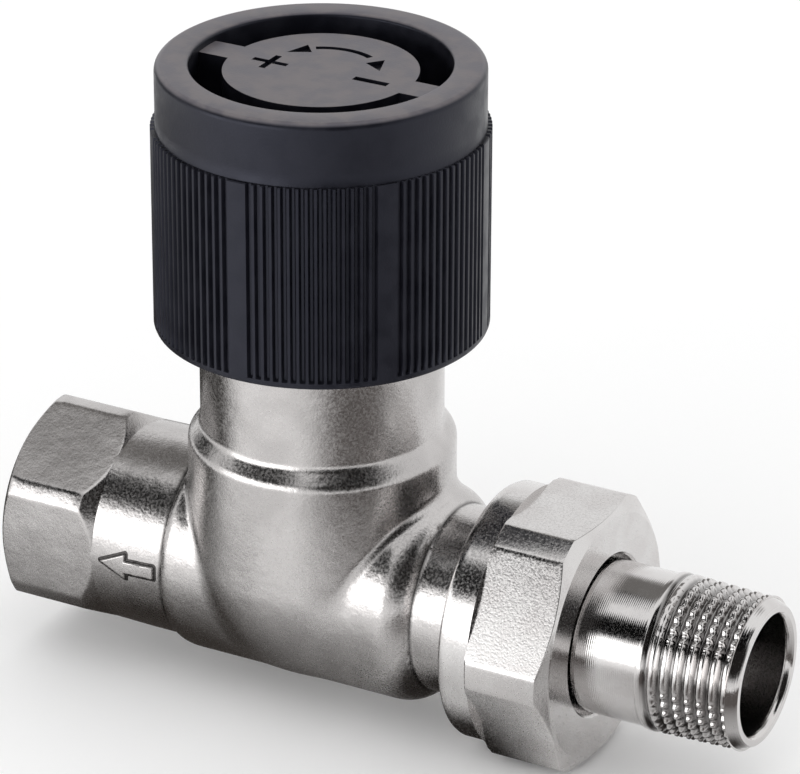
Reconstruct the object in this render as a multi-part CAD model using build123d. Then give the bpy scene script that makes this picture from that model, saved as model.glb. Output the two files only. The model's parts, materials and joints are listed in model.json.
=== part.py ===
from build123d import *
import math
import os

# A straight radiator valve for the return pipe, size 3/8 inch, in millimetres.
# X runs along the pipe axis from the mouth of the female port to the tailpiece, and Z along
# the spindle towards the cap. The origin is the centre of the port's mouth.

# Lengths along the pipe axis: the spindle's place, then reaches on either side of it
spindle_x = 33.6
flank_reach = 13.6
flank_rise_length = 2.1
land_reach = 12.4
nut_reach = 20.9
union_groove_reach = 22.0
body_reach = 29.5
overall_length = 85.6

# Heights above the pipe axis
seat_height = 4.0
shoulder_low = 15.3
shoulder_high = 17.5
neck_top = 40.5

# Rises and drops from the neck's top, which the cap and the gland keep to
head_drop = 8.9
bonnet_thread_drop = 10.5
gland_drop = 4.0
gland_ring_rise = 0.1
skirt_drop = 11.7
pin_rise = 6.5
pocket_rise = 7.3
rib_rise = 10.35
rim_rise = 17.1

# Clearances
turn_clearance = 0.06
face_clearance = 0.05
seal_clearance = 0.02

# Female port: a hexagon with turned corners, then a round barrel
port_flats = 22.0
port_corner_radius = 12.2
port_hexagon_length = 9.9
port_face_radius = 10.95
port_face_chamfer = 0.95
port_shoulder_length = 1.4
port_thread_radius = 7.475
port_thread_length = 11.4
barrel_radius = 11.1

# Forged globe
flank_radius = 11.9
land_round_radius = 4.2
union_groove_radius = 10.1
globe_radius = 14.2
globe_centre = 2.8
globe_fillet = 1.0
neck_radius = 12.85

# Head thread M30 x 1.5 and union thread G 5/8, as plain cylinders of the thread's size
head_radius = 15.0
head_chamfer = 0.9
union_thread_radius = 11.456
union_chamfer = 0.8

# Waterway inside the body
seat_bore_radius = 4.0
seat_lip_radius = 5.2
chamber_floor = 2.6
seat_boss_base = 1.0
neck_bore_radius = 8.2
bonnet_thread_radius = 11.0
outlet_bore_radius = 5.6
outlet_bore_reach = 15.0
cone_mouth_radius = 8.4
cone_depth = 2.8
high_duct_radius = 5.0
high_duct_start_reach = 22.0
high_duct_end_reach = 3.0
high_duct_end_height = 7.5
low_duct_radius = 4.2
low_duct_start_reach = 18.0
low_duct_end_reach = 0.0
low_duct_end_height = -6.2

# Union nut
nut_flats = 27.0
nut_corner_radius = 14.84
nut_collar_radius = 13.8
nut_collar_length = 3.7
nut_hexagon_length = 8.1
nut_face_radius = 13.1
nut_face_chamfer = 0.9
nut_collar_edge = 0.5
nut_wall = 2.0
nut_bore_radius = 8.65

# Tailpiece
tail_collar_radius = 10.1
tail_collar_length = 2.0
tail_nose_length = 2.4
tail_nose_bore_radius = 5.2
shank_radius = 8.15
tail_thread_length = 10.1
tail_thread_radius = 8.331
tail_end_radius = 7.4
tail_end_length = 1.1
tail_bore_radius = 6.33
tail_bore_step = 3.0
tail_mouth_chamfer = 0.35

# Cap
skirt_radius = 17.55
ring_radius = 17.05
ring_edge = 0.6
rim_opening_radius = 13.9
rim_chamfer = 0.4
disc_radius = 10.1
disc_drop = 0.9
cap_floor_thickness = 1.8
web_width = 3.5
hub_bore_radius = 8.0
hub_roof = 2.2
plunger_radius = 3.0
cap_base_band = 0.7
sector_count = 7
ribs_per_sector = 15
plain_pitches = 2
groove_depth = 0.45
groove_mouth_share = 0.66
groove_floor_share = 0.36

# Insert: bonnet, guide bush and gland
bonnet_base = 18.6
bonnet_hexagon_flats = 19.0
bonnet_hexagon_height = 2.5
bonnet_seal_depth = 1.76
bonnet_seal_thickness = 1.8
bonnet_seal_height = 24.5
bonnet_groove_height = 2.2
spring_chamber_radius = 5.6
circlip_headroom = 0.7
bush_height = 2.4
pin_chamber_radius = 2.9
gland_bore_radius = 5.0
gland_washer_thickness = 0.6
gland_oring_wire = 0.72
gland_ring_depth = 1.1
gland_ring_thickness = 1.1
gland_groove_height = 1.4
gland_hexagon_flats = 8.0
gland_hexagon_height = 1.6

# Pin, spindle and spring
pin_radius = 1.5
pin_collar_radius = 2.6
pin_collar_height = 1.0
spindle_radius = 2.0
stud_radius = 1.5
spring_seat_height = 29.4
spring_collar_thickness = 0.8
spring_collar_radius = 5.2
circlip_thickness = 0.7
circlip_radius = 3.2
circlip_groove_radius = 1.6
circlip_gap = 1.5
spring_wire_radius = 0.5
spring_radius = 4.2
spring_turns = 3
stroke = 2.3

# Sealing disc and what holds it
valve_disc_radius = 5.6
valve_disc_thickness = 2.2
carrier_radius = 6.2
carrier_thickness = 1.6
carrier_lip = 1.4
washer_radius = 3.4
washer_thickness = 0.6
disc_nut_flats = 5.0
disc_nut_height = 1.8

# Places that follow from the sizes above
head_base = neck_top - head_drop
bonnet_thread_base = neck_top - bonnet_thread_drop
gland_floor = neck_top - gland_drop
gland_ring_height = neck_top + gland_ring_rise
skirt_base = neck_top - skirt_drop
pin_top = neck_top + pin_rise
pocket_floor = neck_top + pocket_rise
rib_top = neck_top + rib_rise
rim_top = neck_top + rim_rise
flank_start = spindle_x - flank_reach
flank_full = flank_start + flank_rise_length
land_round = spindle_x + land_reach
nut_start = spindle_x + nut_reach
union_groove_end = spindle_x + union_groove_reach
body_end = spindle_x + body_reach
nut_hexagon_start = nut_start + nut_collar_length
nut_hexagon_end = nut_hexagon_start + nut_hexagon_length
nut_end = nut_hexagon_end + nut_face_chamfer
nut_shoulder = nut_end - nut_wall
tail_face = body_end + face_clearance
tail_collar_end = tail_face + tail_collar_length
tail_thread_end = overall_length - tail_end_length
tail_thread_start = tail_thread_end - tail_thread_length
disc_base = seat_height + stroke + seal_clearance
disc_top = disc_base + valve_disc_thickness
carrier_top = disc_top + carrier_thickness
stud_base = disc_base - washer_thickness - disc_nut_height
spindle_top = gland_floor - face_clearance - pin_collar_height
spring_base = bonnet_base + bush_height
circlip_base = spring_seat_height + spring_collar_thickness
circlip_top = circlip_base + circlip_thickness
spring_chamber_top = circlip_top + circlip_headroom
cap_roof = pocket_floor - cap_floor_thickness
bonnet_top = neck_top + bonnet_hexagon_height


def about_pipe(points):
    """A solid turned about the pipe axis from (x, radius) points."""
    outline = Polyline([(x, 0, r) for x, r in points], close=True)
    return revolve(make_face(outline), axis=Axis.X)


def about_spindle(points):
    """A solid turned about the spindle axis from (radius, z) points."""
    outline = Polyline([(r, 0, z) for r, z in points], close=True)
    return Pos(spindle_x, 0, 0) * revolve(make_face(outline), axis=Axis.Z)


def pipe_cylinder(radius, start, end):
    disc = Plane(origin=(start, 0, 0), z_dir=(1, 0, 0)) * Circle(radius)
    return extrude(disc, end - start)


def spindle_cylinder(radius, low, high):
    return extrude(Pos(spindle_x, 0, low) * Circle(radius), high - low)


def spindle_ring(outer, inner, low, high):
    return spindle_cylinder(outer, low, high) - spindle_cylinder(inner, low, high)


def pipe_hexagon(flats, start, end, turn):
    """A hexagonal bar on the pipe axis, with a corner at the top when turn is 0."""
    plane = Plane(origin=(start, 0, 0), x_dir=(0, 1, 0), z_dir=(1, 0, 0))
    profile = plane * Rot(0, 0, 90 + turn) * RegularPolygon(flats / math.sqrt(3), 6)
    return extrude(profile, end - start)


def spindle_hexagon(flats, low, high):
    profile = Pos(spindle_x, 0, low) * RegularPolygon(flats / math.sqrt(3), 6)
    return extrude(profile, high - low)


def quarter_arc(start, end, corner):
    """A round between two points of an outline, bulging towards their common corner."""
    lean = 1 - math.sqrt(0.5)
    middle = tuple((s + e) * lean + c * (1 - 2 * lean) for s, e, c in zip(start, end, corner))
    return ThreePointArc(start, middle, end)


def inclined_duct(radius, start_x, end_x, end_z):
    """A round channel from the pipe axis, in the valve's middle plane, with a round far end."""
    run = Vector(end_x - start_x, 0, end_z)
    disc = Plane(origin=(start_x, 0, 0), z_dir=run) * Circle(radius)
    return extrude(disc, run.length) + Pos(end_x, 0, end_z) * Sphere(radius)


def barrel_and_flanks():
    """The round forging about the pipe axis, from the hexagon to the union thread."""
    chamfer_start = (body_end - union_chamfer, 0, union_thread_radius)
    drop = flank_radius - union_groove_radius
    land_run = math.sqrt(drop * (2 * land_round_radius - drop))
    half_turn = math.acos(1 - drop / land_round_radius) / 2
    land_middle = (
        land_round + land_round_radius * math.sin(half_turn),
        0,
        flank_radius - land_round_radius * (1 - math.cos(half_turn)),
    )
    land_end = (land_round + land_run, 0, union_groove_radius)
    thread_start = (union_groove_end + union_chamfer, 0, union_thread_radius)
    lines = [
        Line((port_hexagon_length, 0, 0), (port_hexagon_length, 0, barrel_radius)),
        Line((port_hexagon_length, 0, barrel_radius), (flank_start, 0, barrel_radius)),
        quarter_arc(
            (flank_start, 0, barrel_radius), (flank_full, 0, flank_radius), (flank_start, 0, flank_radius)
        ),
        Line((flank_full, 0, flank_radius), (land_round, 0, flank_radius)),
        ThreePointArc((land_round, 0, flank_radius), land_middle, land_end),
        Line(land_end, (union_groove_end, 0, union_groove_radius)),
        Line((union_groove_end, 0, union_groove_radius), thread_start),
        Line(thread_start, chamfer_start),
        Line(chamfer_start, (body_end, 0, union_thread_radius - union_chamfer)),
        Line((body_end, 0, union_thread_radius - union_chamfer), (body_end, 0, 0)),
        Line((body_end, 0, 0), (port_hexagon_length, 0, 0)),
    ]
    return revolve(make_face(Wire(lines)), axis=Axis.X)


def globe_and_neck():
    """The round-bottomed globe about the spindle axis, its shoulder and the neck."""
    globe_base = globe_centre - globe_radius
    lines = [
        Line((0, 0, globe_base), (0, 0, head_base)),
        Line((0, 0, head_base), (neck_radius, 0, head_base)),
        Line((neck_radius, 0, head_base), (neck_radius, 0, shoulder_high)),
        quarter_arc(
            (neck_radius, 0, shoulder_high), (globe_radius, 0, shoulder_low), (globe_radius, 0, shoulder_high)
        ),
        Line((globe_radius, 0, shoulder_low), (globe_radius, 0, globe_centre)),
        quarter_arc((globe_radius, 0, globe_centre), (0, 0, globe_base), (globe_radius, 0, globe_base)),
    ]
    return Pos(spindle_x, 0, 0) * revolve(make_face(Wire(lines)), axis=Axis.Z)


def forged_globe():
    """Both round forms joined, with a fillet along the line where they meet."""
    joined = barrel_and_flanks() + globe_and_neck()
    crease = [e for e in joined.edges() if e.geom_type == GeomType.BSPLINE]
    return fillet(crease, globe_fillet)


def port_hexagon():
    """The spanner hexagon of the female port, with its corners turned down."""
    turned = about_pipe([
        (0, 0),
        (0, port_face_radius),
        (port_face_chamfer, port_corner_radius),
        (port_hexagon_length, port_corner_radius),
        (port_hexagon_length + port_shoulder_length, barrel_radius),
        (port_hexagon_length + port_shoulder_length, 0),
    ])
    bar = pipe_hexagon(port_flats, 0, port_hexagon_length + port_shoulder_length, 0)
    return bar & turned


def threaded_head():
    return about_spindle([
        (0, head_base - head_chamfer),
        (neck_radius, head_base - head_chamfer),
        (head_radius - head_chamfer, head_base - head_chamfer),
        (head_radius, head_base),
        (head_radius, neck_top - head_chamfer),
        (head_radius - head_chamfer, neck_top),
        (0, neck_top),
    ])


def port_bore():
    """The threaded mouth of the female port and the drill point behind it."""
    drill_end = port_thread_length + port_thread_radius - high_duct_radius
    return about_pipe([
        (0, 0),
        (0, port_thread_radius),
        (port_thread_length, port_thread_radius),
        (drill_end, high_duct_radius),
        (drill_end, 0),
    ])


def outlet_bore():
    """The bore of the union end, with the cone that the tailpiece seals on."""
    return about_pipe([
        (spindle_x + outlet_bore_reach, 0),
        (spindle_x + outlet_bore_reach, outlet_bore_radius),
        (body_end - cone_depth, outlet_bore_radius),
        (body_end, cone_mouth_radius),
        (body_end, 0),
    ])


def neck_bore():
    """The upper chamber, and above it the bore and thread for the bonnet."""
    return about_spindle([
        (0, chamber_floor),
        (neck_bore_radius, chamber_floor),
        (neck_bore_radius, bonnet_thread_base),
        (bonnet_thread_radius, bonnet_thread_base),
        (bonnet_thread_radius, neck_top),
        (0, neck_top),
    ])


def valve_body():
    """The forging, with a waterway that rises over the seat and a raised seat lip."""
    body = forged_globe() + port_hexagon() + threaded_head()
    body -= port_bore()
    body -= outlet_bore()
    body -= inclined_duct(
        high_duct_radius, spindle_x - high_duct_start_reach,
        spindle_x - high_duct_end_reach, high_duct_end_height,
    )
    body -= inclined_duct(
        low_duct_radius, spindle_x + low_duct_start_reach, spindle_x + low_duct_end_reach, low_duct_end_height
    )
    body -= neck_bore()
    body += spindle_cylinder(seat_lip_radius, seat_boss_base, seat_height)
    body -= spindle_cylinder(seat_bore_radius, low_duct_end_height, seat_height)
    return body


def bonnet():
    """The insert housing: guide and spring chamber below, gland chamber above."""
    lower_radius = neck_bore_radius - turn_clearance
    upper_radius = bonnet_thread_radius - turn_clearance
    shell = about_spindle([
        (0, bonnet_base),
        (lower_radius, bonnet_base),
        (lower_radius, bonnet_thread_base),
        (upper_radius, bonnet_thread_base),
        (upper_radius, neck_top),
        (0, neck_top),
    ])
    shell += spindle_hexagon(bonnet_hexagon_flats, neck_top, bonnet_top)
    shell -= spindle_cylinder(spring_chamber_radius, bonnet_base, spring_chamber_top)
    shell -= spindle_cylinder(pin_chamber_radius, spring_chamber_top, gland_floor)
    shell -= spindle_cylinder(gland_bore_radius, gland_floor, bonnet_top)
    seal_low = bonnet_seal_height - bonnet_groove_height / 2
    seal_floor = neck_bore_radius - bonnet_seal_depth - 2 * seal_clearance
    shell -= spindle_ring(neck_bore_radius, seal_floor, seal_low, seal_low + bonnet_groove_height)
    return shell


def bonnet_seal_ring():
    """The square-cut ring that seals the bonnet in the neck."""
    outer = neck_bore_radius - seal_clearance
    low = bonnet_seal_height - bonnet_seal_thickness / 2
    return spindle_ring(outer, outer - bonnet_seal_depth, low, low + bonnet_seal_thickness)


def guide_bush():
    """The bush pressed into the bonnet, which guides the spindle and carries the spring."""
    outer = spring_chamber_radius
    return spindle_ring(outer, spindle_radius + turn_clearance, bonnet_base, spring_base)


def gland_washer():
    outer = gland_bore_radius - face_clearance
    return spindle_ring(outer, pin_radius + turn_clearance, gland_floor, gland_floor + gland_washer_thickness)


def gland_oring_height():
    return gland_floor + gland_washer_thickness + gland_oring_wire + seal_clearance


def gland_oring():
    """The round ring about the pin, which the gland screw presses down."""
    wire_centre = pin_radius + seal_clearance + gland_oring_wire
    return Pos(spindle_x, 0, gland_oring_height()) * Torus(wire_centre, gland_oring_wire)


def gland_seal_ring():
    """The square-cut ring that seals the gland screw in the bonnet."""
    outer = gland_bore_radius - seal_clearance
    low = gland_ring_height - gland_ring_thickness / 2
    return spindle_ring(outer, outer - gland_ring_depth, low, low + gland_ring_thickness)


def gland_screw():
    """The stuffing box screw in the bonnet's top, with a groove for its own seal."""
    low = gland_oring_height() + gland_oring_wire + seal_clearance
    groove_low = gland_ring_height - gland_groove_height / 2
    groove_floor = gland_bore_radius - gland_ring_depth - 2 * seal_clearance
    screw = spindle_cylinder(gland_bore_radius - turn_clearance, low, bonnet_top)
    screw += spindle_hexagon(gland_hexagon_flats, bonnet_top, bonnet_top + gland_hexagon_height)
    screw -= spindle_ring(gland_bore_radius, groove_floor, groove_low, groove_low + gland_groove_height)
    screw -= spindle_cylinder(pin_radius + turn_clearance, low, bonnet_top + gland_hexagon_height)
    return screw


def actuating_pin():
    """The steel pin that the cap's plunger, or a thermostat head, pushes."""
    rod = spindle_cylinder(pin_radius, spindle_top, pin_top)
    rod += spindle_cylinder(pin_collar_radius, spindle_top, spindle_top + pin_collar_height)
    tip = rod.edges().sort_by(Axis.Z)[-1]
    return chamfer(tip, pin_radius / 4)


def spindle():
    """The spindle, with a stud below for the sealing disc and a circlip groove above."""
    rod = about_spindle([
        (0, stud_base),
        (stud_radius, stud_base),
        (stud_radius, carrier_top),
        (spindle_radius, carrier_top),
        (spindle_radius, spindle_top),
        (0, spindle_top),
    ])
    return rod - spindle_ring(spindle_radius, circlip_groove_radius, circlip_base, circlip_top)


def spring_collar():
    return spindle_ring(spring_collar_radius, spindle_radius, spring_seat_height, circlip_base)


def spring_circlip():
    """The open ring in the spindle's groove that holds the spring collar."""
    ring = spindle_ring(circlip_radius, circlip_groove_radius, circlip_base, circlip_top)
    gap = Pos(spindle_x + circlip_radius, 0, circlip_base) * Rectangle(2 * circlip_radius, circlip_gap)
    return ring - extrude(gap, circlip_thickness)


def return_spring():
    """The spring that lifts the spindle, between the guide bush and the spring collar."""
    low = spring_base + spring_wire_radius
    height = spring_seat_height - spring_base - 2 * spring_wire_radius
    path = Helix(height / spring_turns, height, spring_radius)
    start = Plane(origin=path @ 0, z_dir=path % 0)
    coil = sweep(start * Circle(spring_wire_radius), path=path)
    return Pos(spindle_x, 0, low) * coil


def disc_carrier():
    """The brass cup that backs the sealing disc and guards its edge."""
    cup = spindle_ring(carrier_radius, stud_radius, disc_top - carrier_lip, carrier_top)
    pocket = spindle_cylinder(valve_disc_radius + seal_clearance, disc_top - carrier_lip, disc_top)
    return cup - pocket


def valve_disc():
    return spindle_ring(valve_disc_radius, stud_radius, disc_base, disc_top)


def disc_washer():
    return spindle_ring(washer_radius, stud_radius, disc_base - washer_thickness, disc_base)


def disc_nut():
    high = disc_base - washer_thickness
    block = spindle_hexagon(disc_nut_flats, stud_base, high)
    return block - spindle_cylinder(stud_radius, stud_base, high)


def cap_grooves():
    """Fine upright grooves in groups, with a plain strip between the groups."""
    pitches = ribs_per_sector + plain_pitches
    pitch = 360 / (sector_count * pitches)
    pitch_width = math.radians(pitch) * skirt_radius
    mouth = pitch_width * groove_mouth_share
    floor = pitch_width * groove_floor_share
    low = skirt_base + cap_base_band
    groove = Polygon(
        (skirt_radius - groove_depth, -floor / 2),
        (skirt_radius + groove_depth, floor / 2 - mouth),
        (skirt_radius + groove_depth, mouth - floor / 2),
        (skirt_radius - groove_depth, floor / 2),
        align=None,
    )
    sketch = Sketch()
    for sector in range(sector_count):
        for rib in range(ribs_per_sector):
            turn = -90 + pitch * (sector * pitches + plain_pitches / 2 + rib + 0.5)
            sketch += Rot(0, 0, turn) * groove
    return extrude(Pos(spindle_x, 0, low) * sketch, rib_top - low)


def protective_cap():
    """One moulding: ribbed skirt, plain ring, a disc on two webs and a plunger below it."""
    inner = head_radius + turn_clearance
    shell = about_spindle([
        (inner, skirt_base),
        (skirt_radius, skirt_base),
        (skirt_radius, rib_top),
        (ring_radius, rib_top),
        (ring_radius, rim_top - ring_edge),
        (ring_radius - ring_edge, rim_top),
        (rim_opening_radius + rim_chamfer, rim_top),
        (rim_opening_radius, rim_top - rim_chamfer),
        (rim_opening_radius, pocket_floor),
        (0, pocket_floor),
        (0, cap_roof),
        (inner, cap_roof),
    ])
    disc_face = rim_top - disc_drop
    webs = Pos(spindle_x, 0, pocket_floor) * Rectangle(2 * rim_opening_radius, web_width)
    shell += extrude(webs, disc_face - pocket_floor)
    shell += spindle_cylinder(disc_radius, pocket_floor, disc_face)
    shell -= spindle_cylinder(hub_bore_radius, cap_roof, disc_face - hub_roof)
    shell += spindle_cylinder(plunger_radius, pin_top + face_clearance, disc_face - hub_roof)
    return shell - cap_grooves()


def union_nut():
    """The union nut: a round collar, a hexagon with turned corners and a chamfered face."""
    turned = about_pipe([
        (nut_start, 0),
        (nut_start, nut_collar_radius - nut_collar_edge),
        (nut_start + nut_collar_edge, nut_collar_radius),
        (nut_hexagon_start, nut_collar_radius),
        (nut_hexagon_start, nut_corner_radius),
        (nut_hexagon_end, nut_corner_radius),
        (nut_end, nut_face_radius),
        (nut_end, 0),
    ])
    collar = pipe_cylinder(nut_corner_radius, nut_start, nut_hexagon_start)
    nut = turned & (collar + pipe_hexagon(nut_flats, nut_hexagon_start, nut_end, 30))
    nut -= pipe_cylinder(union_thread_radius + turn_clearance, nut_start, nut_shoulder)
    nut -= pipe_cylinder(nut_bore_radius, nut_shoulder, nut_end)
    return nut


def tailpiece():
    """The turned tailpiece: sealing nose, collar, shank and the taper thread's blank."""
    nose_tip = cone_mouth_radius - (cone_mouth_radius - outlet_bore_radius) * tail_nose_length / cone_depth
    step = tail_collar_end + tail_bore_step
    return about_pipe([
        (tail_face - tail_nose_length, tail_nose_bore_radius),
        (tail_face - tail_nose_length, nose_tip),
        (tail_face, cone_mouth_radius),
        (tail_face, tail_collar_radius),
        (tail_collar_end, tail_collar_radius),
        (tail_collar_end, shank_radius),
        (tail_thread_start, shank_radius),
        (tail_thread_start, tail_thread_radius),
        (tail_thread_end, tail_thread_radius),
        (overall_length, tail_end_radius),
        (overall_length, tail_bore_radius + tail_mouth_chamfer),
        (overall_length - tail_mouth_chamfer, tail_bore_radius),
        (step, tail_bore_radius),
        (step - tail_bore_radius + tail_nose_bore_radius, tail_nose_bore_radius),
    ])


pieces = {
    "valve_body": valve_body,
    "bonnet": bonnet,
    "bonnet_seal_ring": bonnet_seal_ring,
    "guide_bush": guide_bush,
    "gland_washer": gland_washer,
    "gland_oring": gland_oring,
    "gland_seal_ring": gland_seal_ring,
    "gland_screw": gland_screw,
    "actuating_pin": actuating_pin,
    "spindle": spindle,
    "spring_collar": spring_collar,
    "spring_circlip": spring_circlip,
    "return_spring": return_spring,
    "disc_carrier": disc_carrier,
    "valve_disc": valve_disc,
    "disc_washer": disc_washer,
    "disc_nut": disc_nut,
    "protective_cap": protective_cap,
    "union_nut": union_nut,
    "tailpiece": tailpiece,
}

os.makedirs("parts", exist_ok=True)
for name, make in pieces.items():
    export_step(make(), f"parts/{name}.step")
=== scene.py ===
# %% [markdown]
# # A radiator return valve
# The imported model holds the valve's pieces at their real size and place, in metres. This script
# loads it as a fixed frame, gives every piece its finish, and remodels the pieces whose fine
# forms a builder of machine parts leaves out: the forged skin, the threads and the ribbed cap.

# %% Load the frame and keep its size
import bpy
import bmesh
import json
import math
import numpy as np
import openvdb
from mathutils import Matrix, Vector


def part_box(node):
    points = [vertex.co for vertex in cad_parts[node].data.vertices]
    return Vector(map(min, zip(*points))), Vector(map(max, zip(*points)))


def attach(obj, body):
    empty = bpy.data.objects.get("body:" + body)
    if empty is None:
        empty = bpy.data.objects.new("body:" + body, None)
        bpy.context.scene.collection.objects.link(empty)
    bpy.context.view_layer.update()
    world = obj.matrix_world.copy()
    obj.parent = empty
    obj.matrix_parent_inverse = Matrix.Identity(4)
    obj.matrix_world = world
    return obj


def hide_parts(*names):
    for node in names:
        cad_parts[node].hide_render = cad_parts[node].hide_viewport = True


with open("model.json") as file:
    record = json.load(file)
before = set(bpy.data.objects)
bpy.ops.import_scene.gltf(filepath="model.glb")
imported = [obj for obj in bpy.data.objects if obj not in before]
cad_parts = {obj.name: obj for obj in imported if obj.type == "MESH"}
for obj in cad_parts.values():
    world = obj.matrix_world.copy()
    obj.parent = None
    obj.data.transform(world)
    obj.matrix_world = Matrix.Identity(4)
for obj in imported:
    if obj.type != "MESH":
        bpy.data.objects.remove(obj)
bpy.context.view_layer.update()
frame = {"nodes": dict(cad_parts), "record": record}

# %% [markdown]
# Lengths are written in millimetres, as on a drawing, and turned to metres where a mesh is made.
# The places along the pipe and up the spindle are read from the frame's pieces, so a piece that
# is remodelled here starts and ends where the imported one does.

# %% Sizes that the pieces share
MM = 0.001


def extent(node):
    """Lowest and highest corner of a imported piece, in millimetres."""
    low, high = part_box(node)
    return low / MM, high / MM


cap_low, cap_high = extent("protective_cap")
nut_low, nut_high = extent("union_nut")
tail_low, tail_high = extent("tailpiece")
body_low, body_high = extent("valve_body")
SPINDLE_X = (cap_low.x + cap_high.x) / 2
print("spindle axis at x =", round(SPINDLE_X, 3), "mm")
print("cap from z =", round(cap_low.z, 2), "to", round(cap_high.z, 2), "mm")

# %% [markdown]
# The camera stands far off with a long lens, as for a catalogue picture, so that upright edges
# stay nearly parallel. Its direction and distance come from lining up the turned circles of the
# cap, the nut and the thread with the photograph's ellipses.

# %% Place the camera
IMAGE_WIDTH = 800
IMAGE_HEIGHT = 774
CAMERA_AZIMUTH = math.radians(28.64)
CAMERA_ELEVATION = math.radians(25.73)
CAMERA_DISTANCE = 510.36
FOCAL_PIXELS = 4876.18
CENTRE_PIXEL = (364.04, 404.33)
SENSOR_WIDTH = 36.0
AIM = Vector((SPINDLE_X + 5.0, 0.0, 20.0))

camera_data = bpy.data.cameras.new("camera")
camera_data.sensor_width = SENSOR_WIDTH
camera_data.lens = FOCAL_PIXELS * SENSOR_WIDTH / IMAGE_WIDTH
camera_data.shift_x = (IMAGE_WIDTH / 2 - CENTRE_PIXEL[0]) / IMAGE_WIDTH
camera_data.shift_y = (CENTRE_PIXEL[1] - IMAGE_HEIGHT / 2) / IMAGE_WIDTH
camera_data.clip_start = 0.01
camera = bpy.data.objects.new("camera", camera_data)
bpy.context.scene.collection.objects.link(camera)
towards_camera = Vector((
    math.sin(CAMERA_AZIMUTH) * math.cos(CAMERA_ELEVATION),
    -math.cos(CAMERA_AZIMUTH) * math.cos(CAMERA_ELEVATION),
    math.sin(CAMERA_ELEVATION),
))
camera.location = (AIM + towards_camera * CAMERA_DISTANCE) * MM
camera.rotation_euler = towards_camera.to_track_quat("Z", "Y").to_euler()
bpy.context.scene.camera = camera
print("lens", round(camera_data.lens, 1), "mm, at", [round(c, 3) for c in camera.location])

# %% [markdown]
# One function turns a hex colour, as a paint chart gives it, into the linear light that Blender
# reckons in. Another adds a shader node with its settings and its links in one line.

# %% Helpers for colours and nodes
def linear(hex_colour):
    """An sRGB hex colour as linear red, green, blue and alpha."""
    channels = [int(hex_colour[i:i + 2], 16) / 255 for i in (1, 3, 5)]
    return [c / 12.92 if c <= 0.04045 else ((c + 0.055) / 1.055) ** 2.4 for c in channels] + [1.0]


def add_node(tree, kind, inputs=None, **settings):
    """Adds a node, sets its properties, and sets or links its inputs by name or number."""
    node = tree.nodes.new(kind)
    for name, value in settings.items():
        setattr(node, name, value)
    for name, value in (inputs or {}).items():
        if isinstance(value, bpy.types.NodeSocket):
            tree.links.new(value, node.inputs[name])
        else:
            node.inputs[name].default_value = value
    return node


def start_material(name):
    """An empty material, its tree and the object's coordinates in millimetres."""
    material = bpy.data.materials.new(name)
    material.use_nodes = True
    tree = material.node_tree
    tree.nodes.clear()
    place = add_node(tree, "ShaderNodeTexCoord")
    scale = (1 / MM, 1 / MM, 1 / MM)
    in_mm = add_node(tree, "ShaderNodeMapping", {"Vector": place.outputs["Object"], "Scale": scale})
    return material, tree, in_mm.outputs[0]


print("white is", linear("#ffffff"), "and mid grey is", [round(c, 3) for c in linear("#808080")])

# %% [markdown]
# The floor is a sheet of white paper, and the world is evenly white, as inside a light tent. A
# plane does for the sheet, so large that its edge is never seen: it keeps the valve's soft
# shadow and nothing else. It lies a little below the valve, so that no face of the valve
# flickers in it. Paper's fibres are finer than the size below, which is as fine as shows.

# %% Paper floor and white world
FLOOR_GAP = 0.4
FLOOR_SIZE = 3000.0
FIBRE_SIZE = 0.5
FIBRE_RELIEF = 0.05
PAPER_ROUGHNESS = 0.95
floor_z = min(body_low.z, nut_low.z) - FLOOR_GAP


def card(name, centre, width, depth, facing):
    """A flat card of the studio, in millimetres, turned to face a direction."""
    mesh = bpy.data.meshes.new(name)
    mesh.from_pydata([(-1, -1, 0), (1, -1, 0), (1, 1, 0), (-1, 1, 0)], [], [(0, 1, 2, 3)])
    sheet = bpy.data.objects.new(name, mesh)
    sheet.scale = (width / 2 * MM, depth / 2 * MM, 1)
    sheet.location = Vector(centre) * MM
    sheet.rotation_euler = Vector(facing).to_track_quat("Z", "Y").to_euler()
    bpy.context.scene.collection.objects.link(sheet)
    return sheet


def matt_paper():
    """Uncoated white paper: it has no gleam, because its felt of fibres scatters the light."""
    material, tree, in_mm = start_material("matt_white_paper")
    fibres = add_node(tree, "ShaderNodeTexNoise", {"Vector": in_mm, "Scale": 1 / FIBRE_SIZE})
    felt = add_node(tree, "ShaderNodeBump", {
        "Height": fibres.outputs[0], "Strength": 0.2, "Distance": FIBRE_RELIEF * MM,
    })
    shader = add_node(tree, "ShaderNodeBsdfPrincipled", {
        "Base Color": linear("#ffffff"), "Roughness": PAPER_ROUGHNESS, "Normal": felt.outputs[0],
    })
    add_node(tree, "ShaderNodeOutputMaterial", {"Surface": shader.outputs[0]})
    return material


floor = card("floor", (AIM.x, 0, floor_z), FLOOR_SIZE, FLOOR_SIZE, (0, 0, 1))
floor.data.materials.append(matt_paper())

world = bpy.data.worlds.new("light_tent")
world.use_nodes = True
bpy.context.scene.world = world
world.node_tree.nodes.clear()
white = add_node(world.node_tree, "ShaderNodeBackground", {
    "Color": linear("#ffffff"), "Strength": 1.0,
})
add_node(world.node_tree, "ShaderNodeOutputWorld", {"Surface": white.outputs[0]})
print("floor at z =", round(floor_z, 2), "mm, under a white world")

# %% [markdown]
# Bright metal has no tone of its own: it shows what stands round it. A light tent alone would
# leave it flat and white, so a photographer sets dark cards about the piece, just out of the
# picture. The cards here are seen by reflections only, and fade out towards their edges, as a
# card does that stands out of focus.

# %% Dark cards for the metal to mirror
CARD_DISTANCE = 260


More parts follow.
